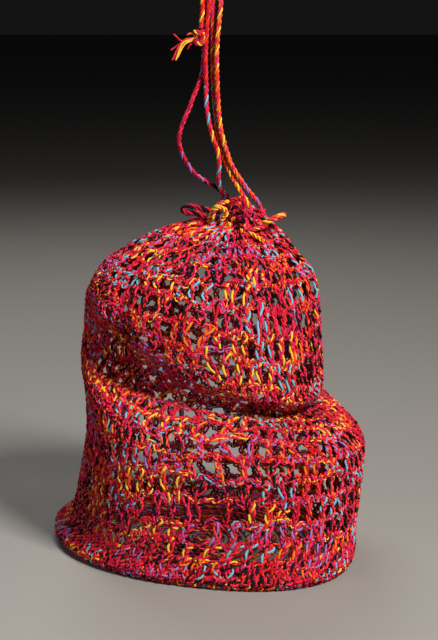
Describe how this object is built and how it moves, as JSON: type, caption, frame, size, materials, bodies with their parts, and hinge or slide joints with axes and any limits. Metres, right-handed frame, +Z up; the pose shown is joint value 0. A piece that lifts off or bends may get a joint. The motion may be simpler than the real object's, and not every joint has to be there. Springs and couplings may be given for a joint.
{
  "type": "crochet market bag",
  "caption": "Open-mesh crocheted drawstring bag, standing full on a closed round base, its pleated mouth drawn in by a cord whose strands rise to a knot.",
  "frame": {"origin": "on the surface the bag stands on, below the middle of the bag's cloth", "axes": "+Z up from the surface, -Y to the front that the picture shows, +X to the right as seen from the front"},
  "size_m": [0.3116, 0.2909, 0.5644],
  "materials": {
    "crochet": "variegated cotton yarn, matte",
    "drawstring": "twisted variegated cotton yarn, matte"
  },
  "bodies": {
    "root": {"bag_cloth": "crochet", "mouth_cord": "drawstring", "bight_left": "drawstring", "bight_right": "drawstring", "strand_left": "drawstring", "strand_slack": "drawstring", "strand_inner": "drawstring", "strand_outer": "drawstring", "strand_tail": "drawstring", "tail_knot": "drawstring", "hanging_knot": "drawstring"}
  },
  "joints": []
}
